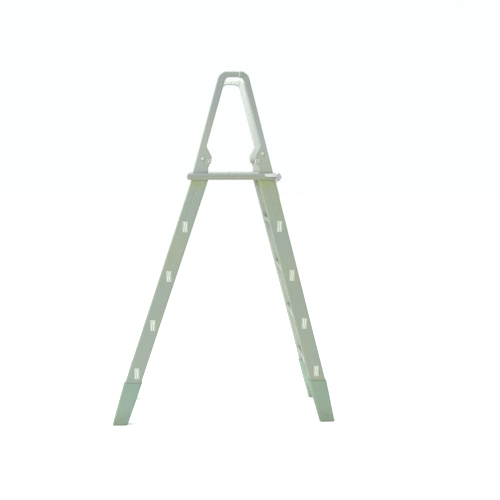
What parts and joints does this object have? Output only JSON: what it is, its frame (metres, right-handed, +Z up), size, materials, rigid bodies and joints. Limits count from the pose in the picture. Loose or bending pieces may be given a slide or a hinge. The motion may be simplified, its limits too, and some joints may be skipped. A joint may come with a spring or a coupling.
{
  "type": "pool ladder",
  "caption": "Free-standing A-frame ladder for a raised pool wall, with two ladders of steps, a platform, two handrail loops, a swing-up outer ladder and adjustable feet.",
  "frame": {"origin": "centre of the bounding box at floor level, under the platform between the four feet", "axes": "+X from the pool side to the outer side, +Y across the ladder to the right-hand side seen from the front view, +Z up"},
  "size_m": [1.4004, 0.6372, 2.182],
  "materials": {
    "handrail_plastic": "light grey-green moulded plastic, fine satin texture",
    "rail_plastic": "light grey-green moulded plastic, fine satin texture",
    "deck_plastic": "light grey-green moulded plastic, ribbed top",
    "tread_plastic": "light grey-green moulded plastic, ribbed top",
    "boot_plastic": "slightly darker grey-green moulded plastic",
    "lock_plastic": "near-white moulded plastic",
    "cap_plastic": "near-white moulded plastic",
    "knob_plastic": "mid grey moulded plastic",
    "sole_rubber": "grey-green matte rubber",
    "steel": "satin stainless steel"
  },
  "bodies": {
    "frame": {"platform": "deck_plastic", "handrail_pool_left": "handrail_plastic", "handrail_pool_right": "handrail_plastic", "handrail_outer_left": "handrail_plastic", "handrail_outer_right": "handrail_plastic", "handrail_joiners": "cap_plastic", "joiner_screws": "steel", "handrail_sockets": "handrail_plastic", "socket_screws": "steel", "handrail_bolts": "steel", "bolt_caps": "cap_plastic", "edge_clips": "cap_plastic", "bolt_nuts": "steel", "pool_rail_left": "rail_plastic", "pool_rail_right": "rail_plastic", "pool_tread_1": "tread_plastic", "pool_tread_2": "tread_plastic", "pool_tread_3": "tread_plastic", "pool_tread_4": "tread_plastic", "pool_tread_locks": "lock_plastic", "hinge_bracket_left": "steel", "hinge_bracket_right": "steel", "hinge_pin_left": "steel", "hinge_pin_right": "steel", "bracket_screws": "steel"},
    "outer_ladder": {"outer_rail_left": "rail_plastic", "outer_rail_right": "rail_plastic", "outer_tread_1": "tread_plastic", "outer_tread_2": "tread_plastic", "outer_tread_3": "tread_plastic", "outer_tread_4": "tread_plastic", "outer_tread_locks": "lock_plastic", "rail_strap_left": "steel", "rail_strap_right": "steel", "strap_screws": "steel"},
    "pool_foot_left": {"pool_boot_left": "boot_plastic", "pool_sole_left": "sole_rubber", "pool_boot_bolt_left": "boot_plastic"},
    "pool_foot_knob_left": {"pool_boot_knob_left": "knob_plastic"},
    "pool_foot_right": {"pool_boot_right": "boot_plastic", "pool_sole_right": "sole_rubber", "pool_boot_bolt_right": "boot_plastic"},
    "pool_foot_knob_right": {"pool_boot_knob_right": "knob_plastic"},
    "outer_foot_left": {"outer_boot_left": "boot_plastic", "outer_sole_left": "sole_rubber", "outer_boot_bolt_left": "boot_plastic"},
    "outer_foot_knob_left": {"outer_boot_knob_left": "knob_plastic"},
    "outer_foot_right": {"outer_boot_right": "boot_plastic", "outer_sole_right": "sole_rubber", "outer_boot_bolt_right": "boot_plastic"},
    "outer_foot_knob_right": {"outer_boot_knob_right": "knob_plastic"},
    "hinge_knob_left": {"hinge_knob_left": "knob_plastic"},
    "hinge_knob_right": {"hinge_knob_right": "knob_plastic"}
  },
  "joints": [
    {"name": "outer_ladder_swing", "type": "hinge", "parent": "frame", "child": "outer_ladder", "pos_m": [0.338, 0, 1.548], "axis": [0, -1, 0], "range_deg": [0, 165]},
    {"name": "hinge_knob_turn_left", "type": "hinge", "parent": "frame", "child": "hinge_knob_left", "pos_m": [0.338, -0.3106, 1.548], "axis": [0, 1, 0], "continuous": true},
    {"name": "hinge_knob_turn_right", "type": "hinge", "parent": "frame", "child": "hinge_knob_right", "pos_m": [0.338, 0.3106, 1.548], "axis": [0, 1, 0], "continuous": true},
    {"name": "pool_foot_slide_left", "type": "slide", "parent": "frame", "child": "pool_foot_left", "axis": [-0.3188, 0, -0.9478], "range_m": [0, 0.1016]},
    {"name": "pool_foot_knob_turn_left", "type": "hinge", "parent": "pool_foot_left", "child": "pool_foot_knob_left", "pos_m": [-0.58791, -0.2269, 0.21136], "axis": [0, 1, 0], "continuous": true},
    {"name": "pool_foot_slide_right", "type": "slide", "parent": "frame", "child": "pool_foot_right", "axis": [-0.3188, 0, -0.9478], "range_m": [0, 0.1016]},
    {"name": "pool_foot_knob_turn_right", "type": "hinge", "parent": "pool_foot_right", "child": "pool_foot_knob_right", "pos_m": [-0.58791, 0.2269, 0.21136], "axis": [0, 1, 0], "continuous": true},
    {"name": "outer_foot_slide_left", "type": "slide", "parent": "outer_ladder", "child": "outer_foot_left", "axis": [0.2495, 0, -0.9684], "range_m": [0, 0.1016]},
    {"name": "outer_foot_knob_turn_left", "type": "hinge", "parent": "outer_foot_left", "child": "outer_foot_knob_left", "pos_m": [0.60335, -0.2269, 0.21595], "axis": [0, 1, 0], "continuous": true},
    {"name": "outer_foot_slide_right", "type": "slide", "parent": "outer_ladder", "child": "outer_foot_right", "axis": [0.2495, 0, -0.9684], "range_m": [0, 0.1016]},
    {"name": "outer_foot_knob_turn_right", "type": "hinge", "parent": "outer_foot_right", "child": "outer_foot_knob_right", "pos_m": [0.60335, 0.2269, 0.21595], "axis": [0, 1, 0], "continuous": true}
  ]
}
